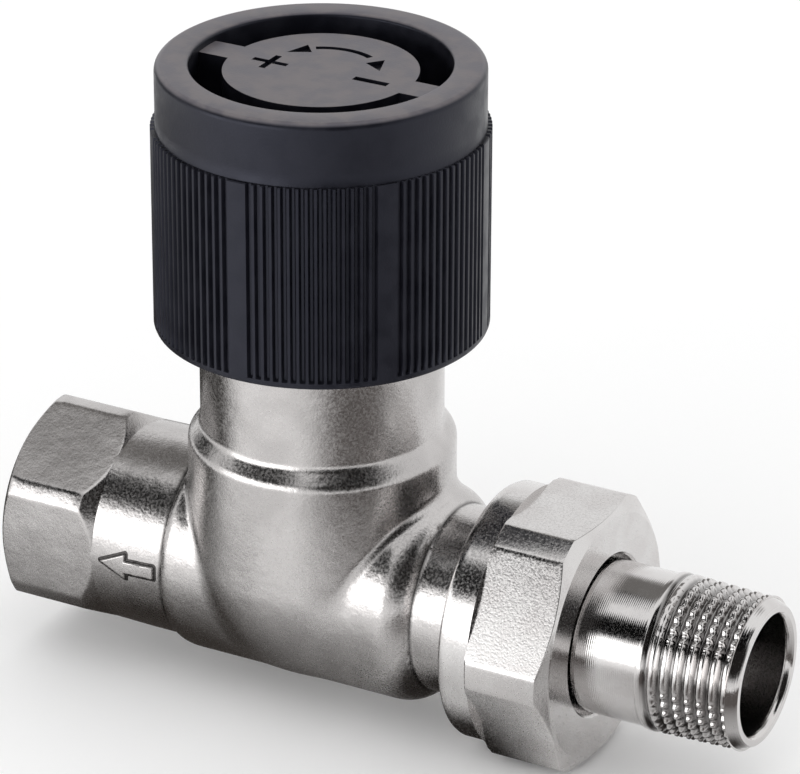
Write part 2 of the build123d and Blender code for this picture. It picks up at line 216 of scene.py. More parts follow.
def dark_card(name, centre, width, depth, facing, tone, core):
    """A dark oval card that only reflections see; core is the share of it at full tone."""
    sheet = card(name, centre, width, depth, facing)
    sheet.visible_camera = False
    sheet.visible_diffuse = False
    sheet.visible_shadow = False
    velvet = bpy.data.materials.new(name + "_velvet")
    velvet.use_nodes = True
    tree = velvet.node_tree
    tree.nodes.clear()
    place = add_node(tree, "ShaderNodeTexCoord")
    oval = add_node(tree, "ShaderNodeTexGradient", {
        "Vector": place.outputs["Object"],
    }, gradient_type="SPHERICAL")
    fade = add_node(tree, "ShaderNodeMapRange", {
        0: oval.outputs[1], 1: 0.0, 2: 1 - core, 3: 0.0, 4: 1.0,
    })
    cloth = add_node(tree, "ShaderNodeEmission", {"Color": linear(tone), "Strength": 1.0})
    clear = add_node(tree, "ShaderNodeBsdfTransparent")
    mixed = add_node(tree, "ShaderNodeMixShader", {
        0: fade.outputs[0], 1: clear.outputs[0], 2: cloth.outputs[0],
    })
    add_node(tree, "ShaderNodeOutputMaterial", {"Surface": mixed.outputs[0]})
    sheet.data.materials.append(velvet)
    print(name, "is", width, "by", depth, "mm")


def around(azimuth, elevation, distance):
    """A point in that direction from the middle of the valve; azimuth 0 is +X and 90 is +Y."""
    azimuth, elevation = math.radians(azimuth), math.radians(elevation)
    level = math.cos(elevation)
    sideways = level * math.cos(azimuth), level * math.sin(azimuth)
    return AIM + distance * Vector((*sideways, math.sin(elevation)))


# Cards on stands, facing the valve: azimuth, elevation, width, height, tone and core.
for name, azimuth, elevation, width, height, tone, core in (
    ("card_above_the_key", -130, 40.5, 420, 158, "#0c0c0c", 0.8),
    ("card_in_front_right", -42, 28, 400, 300, "#242221", 0.65),
    ("card_over_the_shoulder", -25, 48, 340, 120, "#0e0d0d", 0.7),
    ("card_far_left", 172, 12, 220, 130, "#1e1d1c", 0.6),
    ("card_behind", 122, 58, 580, 250, "#7c7a78", 0.6),
):
    place = around(azimuth, elevation, CARD_DISTANCE)
    dark_card(name, place, width, height, AIM - place, tone, core)

# Cards on the floor, facing up: x, y, height over the floor, width, depth, tone and core.
for name, x, y, lift, width, depth, tone, core in (
    ("card_on_the_left", -67, 27, 2, 170, 180, "#403e3c", 0.7),
    ("card_on_the_right", 128, -54, 2, 176, 146, "#625d5b", 0.5),
    # The next three sheets lie under the valve, the nut and the tail: painted shadow, which the
    # metal reflects in place of the floor's shade beneath it.
    ("painted_shadow_under_the_valve", 15, 2, 1, 100, 102, "#3d3936", 0.25),
    ("painted_shadow_under_the_nut", 54, -5, 0.25, 26, 22, "#1f1d1c", 0.5),
    ("painted_shadow_under_the_tail", 81, -4, 0.25, 22, 14, "#1f1d1c", 0.4),
):
    dark_card(name, (x, y, floor_z + lift), width, depth, (0, 0, 1), tone, core)

# %% [markdown]
# The key light is one large soft box at the front left, almost level with the valve. A point
# lamp would leave a small hard spark on each round: a wide box draws the broad bright bands that
# turned metal shows. The white tent fills in the rest.

# %% Soft box
KEY_AZIMUTH = -117
KEY_ELEVATION = 4
KEY_DISTANCE = 400
KEY_WIDTH = 460
KEY_HEIGHT = 260
KEY_RADIANCE = 1.95


def soft_box(name, point, width, height, radiance):
    """An area lamp that faces the valve; radiance 1 is as bright as the white world."""
    lamp = bpy.data.lights.new(name, "AREA")
    lamp.shape = "RECTANGLE"
    lamp.size = width * MM
    lamp.size_y = height * MM
    lamp.energy = radiance * math.pi * lamp.size * lamp.size_y
    box = bpy.data.objects.new(name, lamp)
    box.location = point * MM
    box.rotation_euler = (point - AIM).to_track_quat("Z", "Y").to_euler()
    bpy.context.scene.collection.objects.link(box)
    print(name, "gives", round(lamp.energy, 2), "watts")


key_place = around(KEY_AZIMUTH, KEY_ELEVATION, KEY_DISTANCE)
soft_box("key_soft_box", key_place, KEY_WIDTH, KEY_HEIGHT, KEY_RADIANCE)

# %% [markdown]
# Nearly every piece made here is a skin of points joined by four-sided faces. One function
# builds the mesh, turns its faces outwards, and ties the piece to the moving body that carries
# it. Smooth shading hides the faces, and only edges that are sharp on the valve stay sharp.

# %% Helper for pieces
SHARP_EDGE = math.radians(38)


def add_piece(name, points, faces, body, node, material, normals=None, painted_shade=None):
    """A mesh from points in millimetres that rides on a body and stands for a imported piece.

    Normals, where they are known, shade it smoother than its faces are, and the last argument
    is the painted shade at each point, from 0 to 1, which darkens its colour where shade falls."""
    mesh = bpy.data.meshes.new(name)
    mesh.from_pydata((np.asarray(points) * MM).tolist(), [], np.asarray(faces).tolist())
    shape = bmesh.new()
    shape.from_mesh(mesh)
    bmesh.ops.recalc_face_normals(shape, faces=shape.faces)
    shape.to_mesh(mesh)
    shape.free()
    mesh.shade_smooth()
    if normals is None:
        mesh.set_sharp_from_angle(angle=SHARP_EDGE)
    else:
        mesh.normals_split_custom_set_from_vertices(normals)
    if painted_shade is not None:
        layer = mesh.attributes.new("painted_shade", "FLOAT", "POINT")
        layer.data.foreach_set("value", np.clip(painted_shade, 0, 1).astype(np.float32).ravel())
    mesh.materials.append(material)
    piece = bpy.data.objects.new(name, mesh)
    bpy.context.scene.collection.objects.link(piece)
    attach(piece, body)
    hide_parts(node)
    print(name, "has", len(mesh.vertices), "points and", len(mesh.polygons), "faces")


print("edges over", round(math.degrees(SHARP_EDGE)), "degrees stay sharp")

# %% [markdown]
# ## Finishes
# A noise pattern lies mostly near its middle value, so each finish stretches that middle part
# to the range of colour or gloss that it needs. Shade is painted too: the pieces below write a
# value of painted shade to their points, and the finish reads it, which darkens the colour in a
# line along every step of the body and in the roots of the tail's thread, where shade falls.
#
# Sockets are given by number where names repeat. Map Range: 0 is the value, 1 and 2 are the
# range that comes in, and 3 and 4 the range that goes out. Mix: 0 is the share of the second
# colour, 6 and 7 are the colours, and output 2 is their mix.

# %% Patterns that the finishes share
MIDDLE = {1: 0.35, 2: 0.65}
SOFTLY = {"interpolation_type": "SMOOTHSTEP"}
IN_COLOUR = {"data_type": "RGBA"}
# Painted shade: how a piece's painted-shade value darkens its colour, from where it starts to the
# darkest.
PAINTED_SHADE_START = 0.15
PAINTED_SHADE_FULL = 0.7
PAINTED_SHADE_DARKEST = 0.9
PAINTED_SHADE_COLOUR = "#1e1b1a"


def drifting(tree, pattern, first, second):
    """A colour that drifts between two hex colours with a pattern."""
    share = add_node(tree, "ShaderNodeMapRange", {0: pattern, **MIDDLE, 3: 0.0, 4: 1.0}, **SOFTLY)
    colour = add_node(tree, "ShaderNodeMix", {
        0: share.outputs[0], 6: linear(first), 7: linear(second),
    }, **IN_COLOUR)
    return colour.outputs[2]


def with_painted_shade(tree, tint):
    """Paints shade: darkens a colour where a piece's points carry a value of painted shade."""
    painted_shade = add_node(tree, "ShaderNodeAttribute", attribute_name="painted_shade")
    share = add_node(tree, "ShaderNodeMapRange", {
        0: painted_shade.outputs["Fac"], 1: PAINTED_SHADE_START, 2: PAINTED_SHADE_FULL, 3: 0.0, 4: PAINTED_SHADE_DARKEST,
    }, **SOFTLY)
    colour = add_node(tree, "ShaderNodeMix", {
        0: share.outputs[0], 6: tint, 7: linear(PAINTED_SHADE_COLOUR),
    }, **IN_COLOUR)
    return colour.outputs[2]


print("stain shows from", PAINTED_SHADE_START, "and is darkest from", PAINTED_SHADE_FULL)

# %% [markdown]
# Nickel plate lies on the forging as a thin skin and keeps the texture of the brass below it,
# which was blasted with shot: small dimples that break up every reflection, over faint wrinkles
# from the flow of the hot metal. The plate itself varies a little too, so its colour and its
# gloss follow a slow pattern. Noise at these three sizes does what a picture of the surface
# would, and never repeats. Shot leaves dimples of 0.1 to 0.2 mm, too fine to show here, so they
# are drawn somewhat coarser.

# %% Nickel on the forging
DIMPLE_SIZE = 0.26
DIMPLE_DEPTH = 0.016
WRINKLE_SIZE = 1.6
WRINKLE_DEPTH = 0.05
CLOUD_SIZE = 6.0
FORGED_GLOSS = {3: 0.18, 4: 0.3}


def plated_forging():
    """Nickel over shot-blasted forged brass: sparkling grain on soft, uneven reflections."""
    material, tree, in_mm = start_material("nickel_on_blasted_forged_brass")
    dimples = add_node(tree, "ShaderNodeTexNoise", {
        "Vector": in_mm, "Scale": 1 / DIMPLE_SIZE, "Detail": 3.0,
    })
    wrinkles = add_node(tree, "ShaderNodeTexNoise", {
        "Vector": in_mm, "Scale": 1 / WRINKLE_SIZE, "Detail": 3.0,
    })
    clouds = add_node(tree, "ShaderNodeTexNoise", {
        "Vector": in_mm, "Scale": 1 / CLOUD_SIZE, "Detail": 2.0,
    })
    gloss = add_node(tree, "ShaderNodeMapRange", {
        0: dimples.outputs[0], **MIDDLE, **FORGED_GLOSS,
    }, **SOFTLY)
    wrinkled = add_node(tree, "ShaderNodeBump", {
        "Height": wrinkles.outputs[0], "Strength": 1.0, "Distance": WRINKLE_DEPTH * MM,
    })
    blasted = add_node(tree, "ShaderNodeBump", {
        "Height": dimples.outputs[0], "Strength": 1.0, "Distance": DIMPLE_DEPTH * MM,
        "Normal": wrinkled.outputs[0],
    })
    shader = add_node(tree, "ShaderNodeBsdfPrincipled", {
        # Painted shade darkens this colour in the forging's corners and steps.
        "Base Color": with_painted_shade(tree, drifting(tree, clouds.outputs[0], "#bab7b6", "#c9c6c5")),
        "Metallic": 1.0, "Roughness": gloss.outputs[0], "Normal": blasted.outputs[0],
    })
    add_node(tree, "ShaderNodeOutputMaterial", {"Surface": shader.outputs[0]})
    return material


nickel = plated_forging()
print(nickel.name, "has", len(nickel.node_tree.nodes), "nodes")

# %% [markdown]
# The union nut is milled and tumbled before it is plated, so its flats are satin, without tool
# marks. The tailpiece and the threads keep the fine rings of the lathe: a sine along the axis
# draws them, and only as bumps, since plating hides their colour. A finishing cut feeds about
# 0.1 mm a turn, too fine to show here, so the rings are drawn twice as far apart.

# %% Nickel on milled and turned faces
TOOL_FEED = 0.22
FEED_DEPTH = 0.002
PLATE_CLOUD_SIZE = 4.0
TUMBLING_SIZE = 0.24
TUMBLING_DEPTH = 0.009
TURNED_HAZE_DEPTH = 0.003
CLEAREST = 0.65
DULLEST = 1.4


def machined_nickel(name, roughness, haze_depth, rings):
    """Nickel over a machined face: clean reflections, with the lathe's rings or a satin haze."""
    material, tree, in_mm = start_material(name)
    clouds = add_node(tree, "ShaderNodeTexNoise", {
        "Vector": in_mm, "Scale": 1 / PLATE_CLOUD_SIZE, "Detail": 2.0,
    })
    haze = add_node(tree, "ShaderNodeTexNoise", {
        "Vector": in_mm, "Scale": 1 / TUMBLING_SIZE, "Detail": 3.0,
    })
    gloss = add_node(tree, "ShaderNodeMapRange", {
        0: haze.outputs[0], **MIDDLE, 3: roughness * CLEAREST, 4: roughness * DULLEST,
    }, **SOFTLY)
    marks = add_node(tree, "ShaderNodeBump", {
        "Height": haze.outputs[0], "Strength": 1.0, "Distance": haze_depth * MM,
    })
    if rings:
        across = add_node(tree, "ShaderNodeSeparateXYZ", {0: in_mm})
        feed = add_node(tree, "ShaderNodeMath", {
            0: across.outputs[0], 1: 2 * math.pi / TOOL_FEED,
        }, operation="MULTIPLY")
        feed = add_node(tree, "ShaderNodeMath", {0: feed.outputs[0]}, operation="SINE")
        marks = add_node(tree, "ShaderNodeBump", {
            "Height": feed.outputs[0], "Strength": 1.0, "Distance": FEED_DEPTH * MM,
            "Normal": marks.outputs[0],
        })
    shader = add_node(tree, "ShaderNodeBsdfPrincipled", {
        # Painted shade darkens this colour in the roots and notches of the tail's thread.
        "Base Color": with_painted_shade(tree, drifting(tree, clouds.outputs[0], "#d0cdcc", "#d7d5d4")),
        "Metallic": 1.0, "Roughness": gloss.outputs[0], "Normal": marks.outputs[0],
    })
    add_node(tree, "ShaderNodeOutputMaterial", {"Surface": shader.outputs[0]})
    print(name, "has", len(tree.nodes), "nodes")
    return material


nickel_turned = machined_nickel("nickel_on_turned_brass", 0.12, TURNED_HAZE_DEPTH, rings=True)
nickel_tumbled = machined_nickel("nickel_on_tumbled_brass", 0.2, TUMBLING_DEPTH, rings=False)

# %% [markdown]
# The cap is black nylon from a mould with a fine spark-eroded face: dark, with a soft sheen
# where it is seen at a low angle. Near the top, the faces that look up are painted a lighter
# grey, a painted sheen of the light from above; the height and the tilt of the surface place
# it. The mould's grain is really some 0.05 mm, and is drawn coarser so that it shows.

# %% Black nylon
MOULD_GRAIN = 0.25
MOULD_GRAIN_DEPTH = 0.012
MOTTLE_SIZE = 2.5
CROWN_DEPTH = 1.1
CROWN_EDGE = 0.1
PAINTED_SHEEN_TILT = (0.5, 0.98)
NYLON_GLOSS = {3: 0.34, 4: 0.46}


def black_nylon():
    """Moulded nylon: near black, half matt, with a fine grain, and a painted sheen near the top
    where it faces up.
    """
    material, tree, in_mm = start_material("black_moulded_nylon")
    grain = add_node(tree, "ShaderNodeTexNoise", {
        "Vector": in_mm, "Scale": 1 / MOULD_GRAIN, "Detail": 2.0,
    })
    mottling = add_node(tree, "ShaderNodeTexNoise", {
        "Vector": in_mm, "Scale": 1 / MOTTLE_SIZE, "Detail": 6.0,
    })
    facing = add_node(tree, "ShaderNodeNewGeometry")
    tilt = add_node(tree, "ShaderNodeSeparateXYZ", {0: facing.outputs["Normal"]})
    height = add_node(tree, "ShaderNodeSeparateXYZ", {0: in_mm})
    crown_base = cap_high.z - CROWN_DEPTH
    crown = add_node(tree, "ShaderNodeMapRange", {
        0: height.outputs[2], 1: crown_base - CROWN_EDGE, 2: crown_base, 3: 0.0, 4: 1.0,
    }, **SOFTLY)
    level = add_node(tree, "ShaderNodeMapRange", {
        0: tilt.outputs[2], 1: PAINTED_SHEEN_TILT[0], 2: PAINTED_SHEEN_TILT[1], 3: 0.0, 4: 1.0,
    }, **SOFTLY)
    top = add_node(tree, "ShaderNodeMath", {
        0: crown.outputs[0], 1: level.outputs[0],
    }, operation="MULTIPLY")
    # Painted light: near the top, faces that look up are mixed to a lighter grey.
    tint = add_node(tree, "ShaderNodeMix", {
        0: top.outputs[0],
        6: drifting(tree, mottling.outputs[0], "#0f0f15", "#16161c"),
        7: drifting(tree, mottling.outputs[0], "#5b585d", "#706b6c"),
    }, **IN_COLOUR)
    gloss = add_node(tree, "ShaderNodeMapRange", {
        0: mottling.outputs[0], **MIDDLE, **NYLON_GLOSS,
    }, **SOFTLY)
    moulded = add_node(tree, "ShaderNodeBump", {
        "Height": grain.outputs[0], "Strength": 1.0, "Distance": MOULD_GRAIN_DEPTH * MM,
    })
    shader = add_node(tree, "ShaderNodeBsdfPrincipled", {
        "Base Color": tint.outputs[2], "Roughness": gloss.outputs[0],
        "Specular IOR Level": 0.4, "Specular Tint": linear("#d8dcf4"),
        "Normal": moulded.outputs[0],
    })
    add_node(tree, "ShaderNodeOutputMaterial", {"Surface": shader.outputs[0]})
    return material


cap_plastic = black_nylon()
print(cap_plastic.name, "has", len(cap_plastic.node_tree.nodes), "nodes")

# %% [markdown]
# ## The forged body
# A forging is one skin: where two round forms meet, the metal flows into a soft valley. Such a
# skin is hard to draw face by face, and easy to write as a field: at every point in space, the
# distance to the surface, negative inside the metal. Two fields join by taking the smaller
# value, and a small formula puts a fillet of an exact radius where they meet.

# %% Distance fields
def outline_distance(u, v, corners):
    """Distance to a closed outline in a plane, negative inside it."""
    nearest = np.full(u.shape, np.inf)
    inside = np.zeros(u.shape, bool)
    for (u_a, v_a), (u_b, v_b) in zip(corners, corners[1:] + corners[:1]):
        run, rise = u_b - u_a, v_b - v_a
        along = np.clip(((u - u_a) * run + (v - v_a) * rise) / (run * run + rise * rise), 0, 1)
        nearest = np.minimum(nearest, (u - u_a - along * run) ** 2 + (v - v_a - along * rise) ** 2)
        if rise:
            inside ^= ((v_a > v) != (v_b > v)) & (u - u_a < (v - v_a) * run / rise)
    return np.where(inside, -1, 1) * np.sqrt(nearest)


def joined(a, b, radius):
    """Both forms, with a fillet of this radius where they meet."""
    fillet = np.hypot(np.maximum(radius - a, 0), np.maximum(radius - b, 0))
    return np.maximum(radius, np.minimum(a, b)) - fillet


def common(a, b, radius):
    """What lies in both forms, with its outer edge rounded to this radius."""
    return -joined(-a, -b, radius)


def arc(centre_u, centre_v, radius_u, radius_v, start, end, steps=8):
    """Points of a round stretch of an outline, from one angle in degrees to another."""
    turns = [math.radians(start + (end - start) * i / steps) for i in range(steps + 1)]
    return [(centre_u + radius_u * math.cos(t), centre_v + radius_v * math.sin(t)) for t in turns]


print("1 mm from two walls, a fillet of 2 mm is", round(float(joined(1, 1, 2)), 3), "mm away")

# %% [markdown]
# The outlines below are half sections, as a turner draws them: a length along the axis and a
# radius. Spun round the axis, each becomes a form of the forging. They reach well below the
# axis, to BELOW_AXIS, so that the field has no false surface on the axis itself.

# %% Outlines of the forging
BELOW_AXIS = -20.0
FLANK_START = SPINDLE_X - 13.6
FLANK_FULL = FLANK_START + 2.1
LAND_END = SPINDLE_X + 12.4
WAIST_END = SPINDLE_X + 22.0
BODY_END = body_high.x
BARREL_RADIUS = 11.1
FLANK_RADIUS = 11.9
LAND_ROUND = 4.2
WAIST_RADIUS = 10.1
UNION_CORE_RADIUS = 10.15
UNION_LIP_RADIUS = 9.6
UNION_LIP = 0.6
HEXAGON_FLATS = 22.0
HEXAGON_TURNED_RADIUS = 12.2
HEXAGON_LENGTH = 9.9
HEXAGON_SHOULDER = 1.4
HEXAGON_FACE_RADIUS = 10.95
HEXAGON_FACE_CHAMFER = 0.95
GLOBE_RADIUS = 14.2
GLOBE_CENTRE = 2.8
SHOULDER_TOP = 17.5
SHOULDER_FALL = 1.3
SHOULDER_LEAN = 38
SHOULDER_ROUND = 1.6
NECK_RADIUS = 12.85
NECK_SHELL = 0.6
NECK_FOOT = 5.0
HEAD_RADIUS = 15.0
HEAD_BASE = 31.6
NECK_TOP = 40.5
HEAD_CHAMFER = 0.9

waist_turn = math.degrees(math.acos(1 - (FLANK_RADIUS - WAIST_RADIUS) / LAND_ROUND))
FLANK_LINE = [(HEXAGON_LENGTH, HEXAGON_FLATS / 2 - 0.02), (FLANK_START - 4, BARREL_RADIUS)]
barrel_outline = (
    [(HEXAGON_LENGTH, BELOW_AXIS)] + FLANK_LINE
    + arc(FLANK_FULL, BARREL_RADIUS, FLANK_START - FLANK_FULL, FLANK_RADIUS - BARREL_RADIUS, 0, 90)
    + arc(LAND_END, FLANK_RADIUS - LAND_ROUND, LAND_ROUND, LAND_ROUND, 90, 90 - waist_turn)
    + [(WAIST_END, WAIST_RADIUS), (BODY_END - UNION_LIP, UNION_CORE_RADIUS)]
    + [(BODY_END, UNION_LIP_RADIUS), (BODY_END, BELOW_AXIS)]
)
shoulder_edge = SHOULDER_TOP - SHOULDER_FALL
shoulder_foot = shoulder_edge - SHOULDER_ROUND * math.sin(math.radians(SHOULDER_LEAN))
shoulder = arc(
    GLOBE_RADIUS - SHOULDER_ROUND, shoulder_foot, SHOULDER_ROUND, SHOULDER_ROUND, 0, SHOULDER_LEAN
)
globe_outline = [
    (BELOW_AXIS, 2 * BELOW_AXIS), (GLOBE_RADIUS, 2 * BELOW_AXIS), (GLOBE_RADIUS, shoulder_foot),
    (NECK_RADIUS - NECK_SHELL, shoulder_edge), (BELOW_AXIS, shoulder_edge),
]
head_outline = [
    (BELOW_AXIS, HEAD_BASE - HEAD_CHAMFER), (HEAD_RADIUS - HEAD_CHAMFER, HEAD_BASE - HEAD_CHAMFER),
    (HEAD_RADIUS, HEAD_BASE), (HEAD_RADIUS, NECK_TOP - HEAD_CHAMFER),
    (HEAD_RADIUS - HEAD_CHAMFER, NECK_TOP), (BELOW_AXIS, NECK_TOP),
]
print("the land rolls down to the waist over", round(waist_turn, 1), "degrees")

# %% [markdown]
# Barrel, globe, neck and head join to one skin. The fillet in the valley between the upright
# globe and the level barrel is a little wider towards the union, where the die has more
# draught, so its radius changes with x instead of being one number.

# %% The outside of the forging
VALLEY_PORT_SIDE = 0.5
VALLEY_UNION_SIDE = 0.8


def forging_outside(x, y, z):
    """The field of the forging before anything is bored out of it."""
    pipe = np.hypot(y, z)
    spin = np.hypot(x - SPINDLE_X, y)
    barrel = outline_distance(x, pipe, barrel_outline)
    ball = np.hypot(spin, np.minimum(z - GLOBE_CENTRE, 0)) - GLOBE_RADIUS
    globe = np.maximum(ball, outline_distance(spin, z, globe_outline))
    side = np.clip((x - SPINDLE_X) / GLOBE_RADIUS + 0.5, 0, 1)
    skin = joined(barrel, globe, VALLEY_PORT_SIDE + (VALLEY_UNION_SIDE - VALLEY_PORT_SIDE) * side)
    neck = np.maximum(spin - NECK_RADIUS + NECK_SHELL, np.maximum(z - HEAD_BASE, NECK_FOOT - z))
    return np.minimum(np.minimum(skin, neck), outline_distance(spin, z, head_outline))


print("fillet of", VALLEY_PORT_SIDE, "to", VALLEY_UNION_SIDE, "mm between globe and barrel")

# %% [markdown]
# Inside, the water comes up from the union end, through the seat and down to the port. The
# bores are fields too, and are taken away from the forging, so the edge of every mouth comes
# out right by itself. The seat is a lip that is put back where the ducts would cut it off.

# %% The waterway
PORT_ROOT = 8.6
PORT_DEPTH = 11.4
PIPE_CREST = 7.475
PORT_STEP = 2.5
HIGH_DUCT = ((SPINDLE_X - 22, 0.0), (SPINDLE_X - 3, 7.5), 5.0)
LOW_DUCT = ((SPINDLE_X + 18, 0.0), (SPINDLE_X, -6.2), 4.2)
DUCT_MOUTH = SPINDLE_X + 15
NECK_BORE_RADIUS = 8.2
BONNET_THREAD_RADIUS = 11.0
BONNET_THREAD_BASE = 30.0
CHAMBER_FLOOR = 2.6
SEAT_FOOT = 1.0
SEAT_HEIGHT = 4.0
SEAT_BORE = 4.0
SEAT_LIP = 5.2
OUTLET_BORE = 5.6
CONE_MOUTH = 8.4
CONE_DEPTH = 2.8
MOUTH_EDGE = 0.3
PAST = 5.0

port_outline = [
    (-PAST, BELOW_AXIS), (-PAST, PORT_ROOT), (PORT_DEPTH, PORT_ROOT), (PORT_DEPTH, PIPE_CREST),
    (PORT_DEPTH + PORT_STEP, 5.0), (PORT_DEPTH + PORT_STEP, BELOW_AXIS),
]
outlet_outline = [
    (DUCT_MOUTH, BELOW_AXIS), (DUCT_MOUTH, OUTLET_BORE), (BODY_END - CONE_DEPTH, OUTLET_BORE),
    (BODY_END, CONE_MOUTH), (BODY_END + PAST, CONE_MOUTH + PAST), (BODY_END + PAST, BELOW_AXIS),
]
neck_outline = [
    (BELOW_AXIS, CHAMBER_FLOOR), (NECK_BORE_RADIUS, CHAMBER_FLOOR),
    (NECK_BORE_RADIUS, BONNET_THREAD_BASE), (BONNET_THREAD_RADIUS, BONNET_THREAD_BASE),
    (BONNET_THREAD_RADIUS, NECK_TOP + PAST), (BELOW_AXIS, NECK_TOP + PAST),
]


def duct(x, y, z, start, end, radius):
    """A round channel between two points of the middle plane."""
    run, rise = end[0] - start[0], end[1] - start[1]
    along = ((x - start[0]) * run + (z - start[1]) * rise) / (run * run + rise * rise)
    along = np.clip(along, 0, 1)
    aside, below = x - start[0] - along * run, z - start[1] - along * rise
    return np.sqrt(aside ** 2 + y ** 2 + below ** 2) - radius


def forging(x, y, z):
    """The field of the whole body: the outside less the waterway, with the seat put back."""
    pipe = np.hypot(y, z)
    spin = np.hypot(x - SPINDLE_X, y)
    port = outline_distance(x, pipe, port_outline)
    hollow = np.minimum(port, outline_distance(x, pipe, outlet_outline))
    hollow = np.minimum(hollow, np.minimum(duct(x, y, z, *HIGH_DUCT), duct(x, y, z, *LOW_DUCT)))
    hollow = np.minimum(hollow, outline_distance(spin, z, neck_outline))
    seat = np.maximum(spin - SEAT_LIP, np.maximum(z - SEAT_HEIGHT, SEAT_FOOT - z))
    seat_bore = np.maximum(z - SEAT_HEIGHT - 1, LOW_DUCT[1][1] - z)
    seat_bore = np.maximum(spin - SEAT_BORE, seat_bore)
    hollow = np.minimum(np.maximum(hollow, -seat), seat_bore)
    return common(forging_outside(x, y, z), -hollow, MOUTH_EDGE)


print("the water climbs from z =", LOW_DUCT[1][1], "to the seat at z =", SEAT_HEIGHT, "mm")

# %% [markdown]
# OpenVDB, which Blender brings along, turns the zero level of a sampled field into faces. The
# samples are half a millimetre apart, so the points come out a little off. Each one is then
# moved along the field's slope until it lies on the true surface, and the slope also gives the
# normals, which make the shading smoother than the faces are. Near an edge the flat planes
# through a point's neighbours cross on the edge itself, so the point that fits all of these
# planes best puts a row of points right along it.

# %% Skin of the forging
SLOPE_REACH = 0.01
SOFT_REACH = 0.06
SETTLE_ROUNDS = 4
LEAST_SLOPE = 0.2
PLANE_PULL = 0.3
FURTHEST_MOVE = 0.7
CORNER_REACH = 0.6
SPACING = 0.42


def slope(field, points, reach=SLOPE_REACH):
    """How fast the field grows along x, y and z."""
    parts = []
    for axis in np.eye(3) * reach:
        parts.append((field(*(points + axis).T) - field(*(points - axis).T)) / (2 * reach))
    return np.stack(parts, axis=1)


def settle(field, points):
    """Moves points along the field's slope onto its zero level."""
    for _ in range(SETTLE_ROUNDS):
        steep = slope(field, points)
        share = field(*points.T) / np.maximum((steep ** 2).sum(1), LEAST_SLOPE)
        points = points - steep * share[:, None]
    normals = slope(field, points, SOFT_REACH)
    return points, normals / np.linalg.norm(normals, axis=1)[:, None]


def sharpen(points, faces, normals, spacing):
    """Moves points that lie near an edge onto it, by the planes of their faces' other points."""
    planes = normals[:, :, None] * normals[:, None, :]
    offsets = normals * (normals * points).sum(1)[:, None]
    matrix = planes + np.eye(3) * PLANE_PULL
    target = offsets + points * PLANE_PULL
    for shift in (1, 2, 3):
        others = np.roll(faces, shift, axis=1).ravel()
        np.add.at(matrix, faces.ravel(), planes[others])
        np.add.at(target, faces.ravel(), offsets[others])
    moved = np.linalg.solve(matrix, target[:, :, None])[:, :, 0] - points
    far = np.linalg.norm(moved, axis=1)[:, None]
    return points + moved * np.minimum(1, spacing * FURTHEST_MOVE / np.maximum(far, 1e-9))


def corner_share(field, points):
    """1 in a sharp inner corner of the skin, falling to 0 at CORNER_REACH from it."""
    total = 0
    for axis in np.eye(3) * CORNER_REACH:
        total = total + field(*(points + axis).T) + field(*(points - axis).T)
    return -total / (2 * CORNER_REACH)


def skin_of(field, low, high, spacing):
    """Points, faces and normals of the field's zero level between two corners."""
    axes = [np.arange(a - 2 * spacing, b + 3 * spacing, spacing) for a, b in zip(low, high)]
    samples = field(*np.meshgrid(*axes, indexing="ij")).astype(np.float32)
    grid = openvdb.FloatGrid(background=float(samples.max()) + 1)
    grid.copyFromArray(samples)
    points, faces = grid.convertToQuads()
    points, normals = settle(field, points * spacing + [axis[0] for axis in axes])
    points, normals = settle(field, sharpen(points, faces, normals, spacing))
    return points, faces, normals


body_start = (HEXAGON_LENGTH, body_low.y, body_low.z)
points, faces, normals = skin_of(forging, body_start, body_high, SPACING)
# Painted shade: the skin's inner corners and steps are given a darker colour, where shade falls.
add_piece(
    "forged_body", points, faces, "valve_body", "valve_body", nickel,
    normals, painted_shade=corner_share(forging, points),
)

# %% [markdown]
# ## Turned pieces
# A turned piece is a closed half section swept round an axis. The section is cut into short
# steps, and where a thread, a hexagon or a groove makes the radius change with the angle, the
# radius is worked out for every point of the skin.

# %% Helpers for turned pieces
def fine(corners, step):
    """A closed section's corners with points between them, at most one step apart.

    A third value at a corner is the step of the stretch that starts there."""
    rows = []
    for (a, r, *own), (next_a, next_r, *_) in zip(corners, corners[1:] + corners[:1]):
        count = max(1, math.ceil(math.hypot(next_a - a, next_r - r) / (own[0] if own else step)))
        rows += [(a + (next_a - a) * i / count, r + (next_r - r) * i / count) for i in range(count)]
    return np.array(rows).T[:, :, None]


def swept(along, radius, angles, upright=False):
    """Points and faces of a section swept round the pipe axis, or round the spindle axis."""
    along, radius = np.broadcast_arrays(along, radius + 0 * angles)
    side, lift = radius * np.cos(angles), radius * np.sin(angles)
    points = (SPINDLE_X + side, lift, along) if upright else (along, side, lift)
    rows, columns = radius.shape
    row, column = np.meshgrid(np.arange(rows), np.arange(columns), indexing="ij")
    next_row, next_column = (row + 1) % rows, (column + 1) % columns
    faces = np.stack([
        row * columns + column, next_row * columns + column,
        next_row * columns + next_column, row * columns + next_column,
    ], axis=2)
    return np.stack(points, axis=2).reshape(-1, 3), faces.reshape(-1, 4)


def turn(columns):
    """The angles of one full turn, as a row."""
    return np.linspace(0, 2 * math.pi, columns, endpoint=False)[None, :]


ROOT_SHARE = 0.08
FLANK_SHARE = 0.74


def thread_ridge(along, angles, pitch):
    """1 on the crest and 0 in the root of a right-hand thread, with rounded flanks."""
    lead = (along / pitch - angles / (2 * math.pi)) % 1
    ridge = np.clip((1 - np.abs(2 * lead - 1) - ROOT_SHARE) / FLANK_SHARE, 0, 1)
    return ridge * ridge * (3 - 2 * ridge)


print("six columns stand at", np.degrees(turn(6)).round().ravel().tolist(), "degrees")

